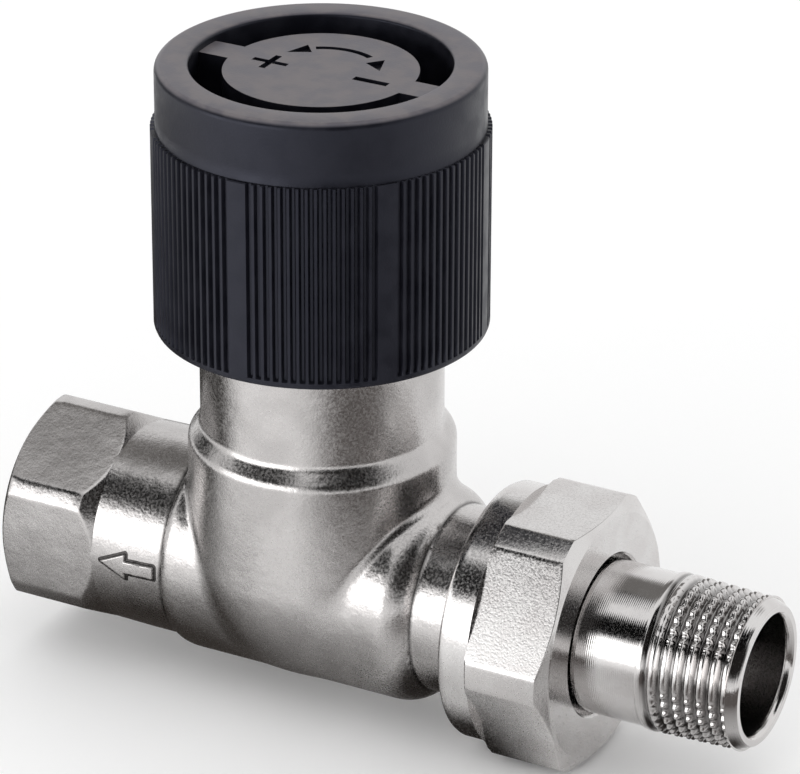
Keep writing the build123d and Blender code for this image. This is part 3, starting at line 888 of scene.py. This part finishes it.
# %% [markdown]
# The neck and its shoulder are round about the spindle, so they are swept as a shell of their
# own, which keeps the crease at the neck's foot sharp. The shoulder is a cone with a rounded
# foot, and the neck flares out to meet it: the cone mirrors the dark above the lamp, and the
# round stretches below and above it mirror the lamp.

# %% Neck and shoulder
SHELL_RISE = 0.012
SHELL_DEPTH = 0.9
NECK_FLARE = 1.4
NECK_END = HEAD_BASE - 0.4
flare_reach = NECK_FLARE * math.tan(math.radians(SHOULDER_LEAN / 2))
flare = arc(
    NECK_RADIUS + NECK_FLARE, SHOULDER_TOP + flare_reach, NECK_FLARE, NECK_FLARE,
    180 + SHOULDER_LEAN, 180,
)
section = [
    (shoulder_foot - 0.75, NECK_RADIUS - SHELL_DEPTH), (shoulder_foot - 0.75, GLOBE_RADIUS - 0.2),
    (shoulder_foot - 0.7, GLOBE_RADIUS + SHELL_RISE),
    *((z, r + SHELL_RISE) for r, z in shoulder), *((z, r) for r, z in flare),
    (NECK_END, NECK_RADIUS), (NECK_END, NECK_RADIUS - SHELL_DEPTH),
]
along, radius = fine(section, 1.5)
points, faces = swept(along, radius, turn(288), upright=True)
add_piece("forged_neck", points, faces, "valve_body", "valve_body", nickel)

# %% [markdown]
# The spanner hexagon of the port is swept too. A six-sided prism would lack what the lathe left
# on its ends: the smaller of the turned radius and the flat's distance at every angle draws the
# flats, the turned corners and the arcs between them.

# %% Hexagon of the port
PORT_COUNTERSINK = 8.75
HEXAGON_EDGE = 0.05
BEND_STEP = 0.12


def hexagonal(radius, flats, angles, edge, chosen):
    """Cuts a turned radius down to a hexagon's flats, with its edges a little rounded."""
    flat = flats / 2 / np.cos(angles % (math.pi / 3) - math.pi / 6)
    return np.where(chosen, radius - edge * np.log1p(np.exp((radius - flat) / edge)), radius)


section = [
    (0.15, PORT_ROOT), (0.0, PORT_COUNTERSINK), (0.0, HEXAGON_FACE_RADIUS - 0.1),
    (0.08, HEXAGON_FACE_RADIUS, BEND_STEP),
    (HEXAGON_FACE_CHAMFER - 0.1, HEXAGON_TURNED_RADIUS - 0.12),
    (HEXAGON_FACE_CHAMFER + 0.1, HEXAGON_TURNED_RADIUS),
    (HEXAGON_LENGTH - 0.1, HEXAGON_TURNED_RADIUS),
    (HEXAGON_LENGTH + 0.1, HEXAGON_TURNED_RADIUS - 0.15, BEND_STEP),
    (HEXAGON_LENGTH + HEXAGON_SHOULDER, BARREL_RADIUS),
    (HEXAGON_LENGTH + HEXAGON_SHOULDER + 0.6, BARREL_RADIUS - 0.5),
    (HEXAGON_LENGTH + 0.6, PORT_ROOT + 0.9), (HEXAGON_LENGTH + 0.5, PORT_ROOT),
]
along, radius = fine(section, 1.0)
angles = turn(540)
outside = radius > HEXAGON_FACE_RADIUS - 0.5
radius = hexagonal(radius, HEXAGON_FLATS, angles + math.pi / 6, HEXAGON_EDGE, outside)
points, faces = swept(along, radius, angles)
add_piece("port_hexagon", points, faces, "valve_body", "valve_body", nickel)

# %% [markdown]
# The die raises an arrow on the barrel that shows which way the water runs. It is a small slab
# bent round the barrel, whose height follows the distance to the arrow's outline, so its sides
# slope as draught asks and its corners are soft. Shade is painted in a dark line along its foot.

# %% Flow arrow
ARROW_RISE = 0.3
ARROW_SLOPE = 0.24
ARROW_SUNK = 0.06
ARROW_HEIGHT = 0.2
ARROW_BACK = 0.4
ARROW_STEP = 0.07
FOOT_WIDTH = 0.4
FOOT_EDGE = 0.08
FOOT_RISE = 0.015


def slab(top, bottom):
    """A closed slab between two grids of points."""
    rows, columns, _ = top.shape
    index = np.arange(rows * columns).reshape(rows, columns)
    ring = np.concatenate([index[0, :-1], index[:-1, -1], index[-1, :0:-1], index[:0:-1, 0]])
    grid = [index[:-1, :-1], index[1:, :-1], index[1:, 1:], index[:-1, 1:]]
    over = np.stack([corner.ravel() for corner in grid], axis=1)
    below = rows * columns
    walls = np.stack([ring, np.roll(ring, -1), np.roll(ring, -1) + below, ring + below], axis=1)
    points = np.concatenate([top.reshape(-1, 3), bottom.reshape(-1, 3)])
    return points, np.concatenate([over, over + below, walls])


arrow_outline = [
    (-21.1, 0.0), (-18.0, 1.45), (-18.0, 0.62), (-14.5, 0.75),
    (-14.5, -0.65), (-18.0, -0.78), (-18.0, -1.45),
]
steps_along, steps_round = np.arange(-21.6, -14.0, ARROW_STEP), np.arange(-1.95, 2.0, ARROW_STEP)
reach, turned = np.meshgrid(steps_along, steps_round, indexing="ij")
apart = outline_distance(reach, turned, arrow_outline)
inner = np.clip(0.5 - apart / ARROW_SLOPE, 0, 1)
foot = np.clip((FOOT_WIDTH - apart) / FOOT_EDGE, 0, 1)
barrel_draught = np.interp(SPINDLE_X + reach, *np.array(FLANK_LINE).T)
height = barrel_draught - ARROW_SUNK + (ARROW_SUNK + FOOT_RISE) * foot
height = height + ARROW_RISE * inner * inner * (3 - 2 * inner)


def round_the_front(height):
    """Grid points on the barrel's front at this radius."""
    angle = (turned + ARROW_HEIGHT) / BARREL_RADIUS
    return np.stack([SPINDLE_X + reach, -height * np.cos(angle), height * np.sin(angle)], axis=2)


back = np.full(reach.shape, BARREL_RADIUS - ARROW_BACK)
points, faces = slab(round_the_front(height), round_the_front(back))
# Painted shade: a dark line round the arrow's foot, where shade falls at its sides.
add_piece(
    "flow_arrow", points, faces, "valve_body", "valve_body", nickel,
    painted_shade=np.concatenate([(foot * (1 - inner)).ravel(), np.zeros(reach.size)]),
)

# %% [markdown]
# The port's thread is a size 3/8 pipe thread, 19 turns to the inch, and the union's has 14. Each
# is a thin sleeve of its own, sunk in the forging, because a thread needs far finer faces than
# the forging does. The ridge is not wound on: the radius at each point says where it runs.

# %% Threads of the body
PIPE_PITCH = 25.4 / 19
PIPE_ROOT = 8.331
PORT_SLEEVE = (8.55, 8.9)
UNION_PITCH = 25.4 / 14
UNION_CREST = 11.456
UNION_ROOT = 10.3
UNION_SLEEVE = (9.9, 10.6)
UNION_START = SPINDLE_X + 22.2
UNION_END = BODY_END - 0.1
RUN_OUT = 1.4
THREAD_STEP = 0.15

bore, back = PORT_SLEEVE
port_end = PORT_DEPTH + 0.1
along, radius = fine([(0.3, back), (0.3, bore), (port_end, bore), (port_end, back)], THREAD_STEP)
angles = turn(192)
crests = PIPE_ROOT - (PIPE_ROOT - PIPE_CREST) * thread_ridge(along, angles, PIPE_PITCH)
crests = np.maximum(crests, np.minimum(PORT_COUNTERSINK - along, bore))
radius = np.where(radius < bore + 0.05, crests, radius)
points, faces = swept(along, radius, angles)
add_piece("port_thread", points, faces, "valve_body", "valve_body", nickel_turned)

back, outer = UNION_SLEEVE
section = [(UNION_START, back), (UNION_START, outer), (UNION_END, outer), (UNION_END, back)]
along, radius = fine(section, THREAD_STEP)
angles = turn(256)
crests = UNION_ROOT + (UNION_CREST - UNION_ROOT) * thread_ridge(along, angles, UNION_PITCH)
from_ends = np.minimum(along - UNION_START, UNION_END - along)
crests = np.minimum(crests, UNION_ROOT - 0.1 + RUN_OUT * from_ends)
radius = np.where(radius > back + 0.1, crests, radius)
points, faces = swept(along, radius, angles)
add_piece("union_thread", points, faces, "valve_body", "valve_body", nickel_turned)

# %% [markdown]
# The union nut is hexagonal bar with its corners turned down to a round, so narrow lands are
# left between the flats. The front is cut to a cone, and where cone and flat meet the edge
# bends in an arc. Taking the smaller of the two radii at every angle draws all these edges.

# %% Union nut
NUT_START = nut_low.x
NUT_END = nut_high.x
NUT_FLATS = 27.0
NUT_COLLAR = 13.8
NUT_LAND = 14.84
NUT_COLLAR_LENGTH = 3.7
NUT_FACE = 13.1
NUT_CHAMFER = 0.9
NUT_BORE = 8.65
NUT_WALL = 2.0
NUT_THREAD_ROOT = UNION_CREST + 0.06
NUT_EDGE = 0.04
CONE_STEP = 0.1

hexagon_start = NUT_START + NUT_COLLAR_LENGTH
section = [
    (NUT_START, NUT_THREAD_ROOT + 0.6), (NUT_START, NUT_COLLAR - 0.5),
    (NUT_START + 0.2, NUT_COLLAR - 0.14), (NUT_START + 0.5, NUT_COLLAR),
    (hexagon_start - 0.12, NUT_COLLAR), (hexagon_start - 0.02, NUT_COLLAR - 0.1),
    (hexagon_start, NUT_LAND - 0.25), (hexagon_start + 0.25, NUT_LAND),
    (NUT_END - NUT_CHAMFER, NUT_LAND, CONE_STEP),
    (NUT_END - 0.08, NUT_FACE + 0.1), (NUT_END, NUT_FACE),
    (NUT_END, NUT_BORE + 0.25), (NUT_END - 0.25, NUT_BORE), (NUT_END - NUT_WALL, NUT_BORE),
    (NUT_END - NUT_WALL, NUT_THREAD_ROOT), (NUT_START + 0.6, NUT_THREAD_ROOT),
]
along, radius = fine(section, 0.6)
angles = turn(720)
outside = (along >= hexagon_start) & (radius > NUT_FACE - 0.5)
radius = hexagonal(radius, NUT_FLATS, angles, NUT_EDGE, outside)
points, faces = swept(along, radius, angles)
add_piece("union_nut_turned", points, faces, "nut", "union_nut", nickel_tumbled)

# %% [markdown]
# The tailpiece is turned from bar, then threaded with a taper thread. The crests are notched
# with a knurling wheel in a few patches, so that hemp or tape grips the thread. Ridge, notches
# and patches are three waves round the tail, multiplied. Shade is painted in the roots and notches.

# %% Tailpiece
TAIL_END = tail_high.x
TAIL_NOSE = tail_low.x
TAIL_FACE = BODY_END + 0.05
SHANK_RADIUS = 8.15
TAIL_COLLAR = 10.1
TAIL_BORE = 6.33
NOSE_BORE = 5.2
TAPER = 1 / 32
THREAD_END = TAIL_END - 1.1
THREAD_START = THREAD_END - 10.1
THREAD_DEPTH = 0.75
FIRST_CREST = 0.28
RUN_IN = 2.2 * PIPE_PITCH
NOTCHES = 42
NOTCH_DEPTH = 0.34
PATCHES = 3
PATCH_TURN = math.radians(54)
PATCH_MIDDLE = 2.6
PATCH_SWING = 4
ROOT_SHADE = 0.5
NOTCH_SHADE = 0.35

section = [
    (TAIL_NOSE, NOSE_BORE), (TAIL_NOSE, 5.95), (TAIL_FACE, 8.4), (TAIL_FACE, TAIL_COLLAR),
    (TAIL_FACE + 2, TAIL_COLLAR), (TAIL_FACE + 2, SHANK_RADIUS),
    (THREAD_START - 0.3, SHANK_RADIUS, 0.09), (THREAD_END, SHANK_RADIUS + 0.05),
    (THREAD_END, 8.0), (TAIL_END - 0.12, 7.5), (TAIL_END, 7.36), (TAIL_END, TAIL_BORE + 0.4),
    (TAIL_END - 0.1, TAIL_BORE + 0.3), (TAIL_END - 0.5, TAIL_BORE), (TAIL_FACE + 5, TAIL_BORE),
    (TAIL_FACE + 4, NOSE_BORE),
]
along, radius = fine(section, 0.6)
angles = turn(400)
into = along - THREAD_START
ridge = thread_ridge(along, angles, PIPE_PITCH)
crest = SHANK_RADIUS + FIRST_CREST - TAPER * into
depth = THREAD_DEPTH * np.clip(into / RUN_IN, 0.12, 1)
notch = 0.5 + 0.5 * np.cos(NOTCHES * angles)
patch = np.clip(PATCH_MIDDLE + PATCH_SWING * np.cos(PATCHES * angles + PATCH_TURN), 0, 1)
cut = NOTCH_DEPTH * notch * patch * ridge * np.clip(into / PIPE_PITCH - 1, 0, 1)
threaded = crest - depth * (1 - ridge) - cut
zone = (radius > SHANK_RADIUS - 0.2) & (along > THREAD_START) & (along < THREAD_END)
radius = np.where(zone, threaded, radius)
points, faces = swept(along, radius, angles)
# Painted shade: the thread's roots and notches are given a darker colour, where shade falls.
add_piece(
    "threaded_tailpiece", points, faces, "tail", "tailpiece", nickel_turned,
    painted_shade=np.where(zone, ROOT_SHADE * (1 - ridge) + NOTCH_SHADE * cut / NOTCH_DEPTH, 0),
)

# %% [markdown]
# ## The cap
# The cap is one nylon moulding. The skirt has seven groups of fifteen fine grooves, with a
# plain strip between the groups. A hundred grooves could be cut one by one, but it is lighter
# to sweep the skirt as a turned piece too, with columns of points just where the grooves bend,
# and to pull those of each groove's floor inwards.

# %% Cap shell
GROUPS = 7
GROOVES = 15
PLAIN = 2
SKIRT_RADIUS = 17.55
RING_RADIUS = 17.05
GROOVE_DEPTH = 0.45
GROOVE_MOUTH = 0.66
GROOVE_FLOOR = 0.34
RIB_TOP = 50.85
RIB_LOW = 29.5
SKIRT_BASE = cap_low.z
RIM_TOP = cap_high.z
RIM_OPENING = 13.5
POCKET_FLOOR = 47.8
CAP_ROOF = 46.0
CAP_BORE = 15.06
HUB_RADIUS = 9.0

half_floor, half_mouth = GROOVE_FLOOR / 2, GROOVE_MOUTH / 2
fractions = [0.0, half_floor - 0.03, half_floor + 0.03, half_mouth - 0.05, half_mouth + 0.02]
fractions = [-f for f in fractions[:0:-1]] + fractions + [0.5]
pitch = 2 * math.pi / (GROUPS * (GROOVES + PLAIN))
angles, depths = [], []
for group in range(GROUPS):
    for place in range(GROOVES + PLAIN):
        centre = -math.pi / 2 + pitch * (group * (GROOVES + PLAIN) + PLAIN / 2 + place + 0.5)
        for f in fractions:
            angles.append(centre + f * pitch)
            fall = min(max((half_mouth - abs(f)) / (half_mouth - half_floor), 0), 1)
            depths.append(GROOVE_DEPTH * fall if place < GROOVES else 0.0)
angles, depths = np.array(angles)[None, :], np.array(depths)[None, :]
section = [
    (SKIRT_BASE, CAP_BORE + 0.3), (SKIRT_BASE, SKIRT_RADIUS - 0.35),
    (SKIRT_BASE + 0.1, SKIRT_RADIUS - 0.1), (SKIRT_BASE + 0.35, SKIRT_RADIUS),
    (RIB_LOW, SKIRT_RADIUS), (RIB_LOW + 0.15, SKIRT_RADIUS), (RIB_TOP - 0.1, SKIRT_RADIUS),
    (RIB_TOP, SKIRT_RADIUS - 0.1), (RIB_TOP, RING_RADIUS + 0.03), (RIB_TOP + 0.05, RING_RADIUS),
    *((a, r) for r, a in arc(RING_RADIUS - 0.75, RIM_TOP - 0.75, 0.75, 0.75, 0, 90)),
    *((a, r) for r, a in arc(RIM_OPENING + 0.4, RIM_TOP - 0.4, 0.4, 0.4, 90, 180, 4)),
    (POCKET_FLOOR + 0.3, RIM_OPENING), (POCKET_FLOOR, RIM_OPENING - 0.3),
    (POCKET_FLOOR, HUB_RADIUS), (CAP_ROOF, HUB_RADIUS),
    (CAP_ROOF, CAP_BORE), (SKIRT_BASE + 0.3, CAP_BORE),
]
along, radius = fine(section, 1.5)
grooved = (radius > SKIRT_RADIUS - 0.15) & (along > RIB_LOW + 0.1) & (along <= RIB_TOP)
radius = np.where(grooved, radius - depths, radius)
points, faces = swept(along, radius, angles, upright=True)
add_piece("cap_shell", points, faces, "cap", "protective_cap", cap_plastic)

# %% [markdown]
# Two webs carry a round disc in the middle of the cap, with the signs for turning up and down
# cut into it. Solids are joined and cut here with Boolean modifiers, as one would with clay
# and a stencil. A narrow bevel takes the edge off before the signs are cut, so theirs stay crisp.

# %% Helpers for the cap's middle
def prism(outline, low, high):
    """A straight prism over an outline given in millimetres from the spindle axis."""
    mesh = bpy.data.meshes.new("prism")
    shape = bmesh.new()
    base = [shape.verts.new(((SPINDLE_X + x) * MM, y * MM, low * MM)) for x, y in outline]
    face = shape.faces.new(base)
    grown = bmesh.ops.extrude_face_region(shape, geom=[face])
    top = [v for v in grown["geom"] if isinstance(v, bmesh.types.BMVert)]
    bmesh.ops.translate(shape, verts=top, vec=(0, 0, (high - low) * MM))
    bmesh.ops.recalc_face_normals(shape, faces=shape.faces)
    bmesh.ops.triangulate(shape, faces=shape.faces, ngon_method="EAR_CLIP")
    shape.to_mesh(mesh)
    shape.free()
    solid = bpy.data.objects.new("prism", mesh)
    bpy.context.scene.collection.objects.link(solid)
    return solid


def bake_modifiers(solid):
    """Keeps the mesh that the modifiers make, and removes them."""
    made = solid.evaluated_get(bpy.context.evaluated_depsgraph_get())
    result = bpy.data.meshes.new_from_object(made)
    solid.modifiers.clear()
    solid.data = result


def combine(target, tool, operation):
    """Applies a Boolean with the tool, then removes the tool."""
    change = target.modifiers.new("combine", "BOOLEAN")
    change.operation = operation
    change.object = tool
    change.solver = "EXACT"
    bake_modifiers(target)
    bpy.data.objects.remove(tool)


def circle(radius, steps=128):
    """A closed round outline about the spindle axis."""
    return arc(0, 0, radius, radius, 0, 360 * (steps - 1) / steps, steps - 1)


def bar(x, y, width, height):
    """A rectangle's outline about its middle."""
    across, up = width / 2, height / 2
    return [(x - across, y - up), (x + across, y - up), (x + across, y + up), (x - across, y + up)]


print("a circle of", len(circle(1)), "points and a bar of", len(bar(0, 0, 1, 1)))

# %% Cap disc, webs and plunger
DISC_RADIUS = 10.1
DISC_TOP = RIM_TOP - 0.9
WEB_WIDTH = 3.5
WEB_END = RIM_OPENING + 0.2
HUB_BORE = 8.0
HUB_ROOF = 54.5
HUB_WALL = 1.5
PLUNGER_RADIUS = 3.0
PLUNGER_LOW = 47.05
DISC_BEVEL = 0.12
DISC_SHARP = math.radians(50)

web_turn = math.degrees(math.asin(WEB_WIDTH / 2 / DISC_RADIUS))
plan = arc(0, 0, DISC_RADIUS, DISC_RADIUS, web_turn, 180 - web_turn, 60)
plan += [(-WEB_END, WEB_WIDTH / 2), (-WEB_END, -WEB_WIDTH / 2)]
plan += arc(0, 0, DISC_RADIUS, DISC_RADIUS, 180 + web_turn, 360 - web_turn, 60)
plan += [(WEB_END, -WEB_WIDTH / 2), (WEB_END, WEB_WIDTH / 2)]
disc = prism(plan, POCKET_FLOOR - 0.5, DISC_TOP)
combine(disc, prism(circle(HUB_BORE + HUB_WALL), CAP_ROOF + 0.01, POCKET_FLOOR), "UNION")
combine(disc, prism(circle(HUB_BORE), CAP_ROOF - 1, HUB_ROOF), "DIFFERENCE")
combine(disc, prism(circle(PLUNGER_RADIUS, 48), PLUNGER_LOW, HUB_ROOF + 0.5), "UNION")
soften = disc.modifiers.new("soften", "BEVEL")
soften.width = DISC_BEVEL * MM
soften.segments = 2
soften.angle_limit = DISC_SHARP
bake_modifiers(disc)
print("the bevelled disc has", len(disc.data.polygons), "faces")

# %% [markdown]
# The signs are sunk into the disc: a plus, a minus, and an arc with an arrowhead at each end for
# the two ways of turning. The last modifier turns the normals of the flat faces straight up, so
# that the many small faces of the edges don't shade them.

# %% Signs of the cap
SIGN_DEPTH = 0.45
STROKE = 0.72
SIGN_RADIUS = 6.0
HEAD_INNER = 4.9
HEAD_OUTER = 7.0

band = arc(0, 0, SIGN_RADIUS + STROKE / 2, SIGN_RADIUS + STROKE / 2, 62, 124, 16)
band += arc(0, 0, SIGN_RADIUS - STROKE / 2, SIGN_RADIUS - STROKE / 2, 124, 62, 16)
signs = [
    bar(-5.6, -0.6, 4.0, STROKE),
    bar(-5.6, -0.6, STROKE, 3.7),
    bar(6.0, -0.4, 3.9, 1.25 * STROKE),
    band,
]
for base, tip in ((50.0, 24.6), (130.0, 154.7)):
    corners = ((HEAD_INNER, base), (HEAD_OUTER, base), (SIGN_RADIUS, tip))
    signs.append([arc(0, 0, r, r, t, t, 1)[0] for r, t in corners])
for outline in signs:
    combine(disc, prism(outline, DISC_TOP - SIGN_DEPTH, DISC_TOP + 1), "DIFFERENCE")
disc.data.shade_smooth()
disc.data.set_sharp_from_angle(angle=DISC_SHARP)
disc.modifiers.new("flat_faces_lead", "WEIGHTED_NORMAL").keep_sharp = True
bake_modifiers(disc)
disc.name = "cap_disc"
disc.data.materials.clear()
disc.data.materials.append(cap_plastic)
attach(disc, "cap")
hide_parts("protective_cap")
print("cap_disc has", len(disc.data.vertices), "points and", len(disc.data.polygons), "faces")

# %% [markdown]
# ## The pieces inside
# The insert, the spindle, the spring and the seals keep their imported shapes, which are right as
# they are. They show when the nut is off or the cap is wound out, so each has a real finish too:
# brass and steel as the lathe or the grinder left them, and rubber dull from its mould.

# %% Brass, steel and rubber
INSIDE_CLOUD_SIZE = 2.5


def plain_finish(name, colours, metallic, gloss_range, grain_size, grain_depth):
    """A finish with a slow change of colour and a fine grain, which blurs its reflections."""
    material, tree, in_mm = start_material(name)
    clouds = add_node(tree, "ShaderNodeTexNoise", {
        "Vector": in_mm, "Scale": 1 / INSIDE_CLOUD_SIZE, "Detail": 3.0,
    })
    grain = add_node(tree, "ShaderNodeTexNoise", {
        "Vector": in_mm, "Scale": 1 / grain_size, "Detail": 2.0,
    })
    gloss = add_node(tree, "ShaderNodeMapRange", {
        0: grain.outputs[0], **MIDDLE, 3: gloss_range[0], 4: gloss_range[1],
    }, **SOFTLY)
    fine_grain = add_node(tree, "ShaderNodeBump", {
        "Height": grain.outputs[0], "Strength": 1.0, "Distance": grain_depth * MM,
    })
    shader = add_node(tree, "ShaderNodeBsdfPrincipled", {
        "Base Color": drifting(tree, clouds.outputs[0], *colours),
        "Metallic": metallic, "Roughness": gloss.outputs[0], "Normal": fine_grain.outputs[0],
    })
    add_node(tree, "ShaderNodeOutputMaterial", {"Surface": shader.outputs[0]})
    return material


BRASS = ("#c9a560", "#dcbc7c")
STEEL = ("#b4b3b1", "#c6c5c4")
RUBBER = ("#141414", "#1e1d1d")
finishes = {
    "brass_turned": plain_finish("turned_brass", BRASS, 1.0, (0.2, 0.34), 0.3, 0.006),
    "stainless": plain_finish("ground_stainless_steel", STEEL, 1.0, (0.16, 0.3), 0.2, 0.004),
    "seal_rubber": plain_finish("moulded_nitrile_rubber", RUBBER, 0.0, (0.45, 0.6), 0.15, 0.01),
    "nickel_forging": nickel,
    "nickel_turned": nickel_turned,
    "black_cap": cap_plastic,
}
for part in frame["record"]["subparts"]:
    for place in frame["nodes"][part["node"]].material_slots:
        place.material = finishes[part["material_slot"]]
print("finishes on", len(frame["nodes"]), "packed pieces")

# %% [markdown]
# The colours go to the picture through the Standard view transform.

# %% Standard view transform
bpy.context.scene.view_settings.view_transform = "Standard"
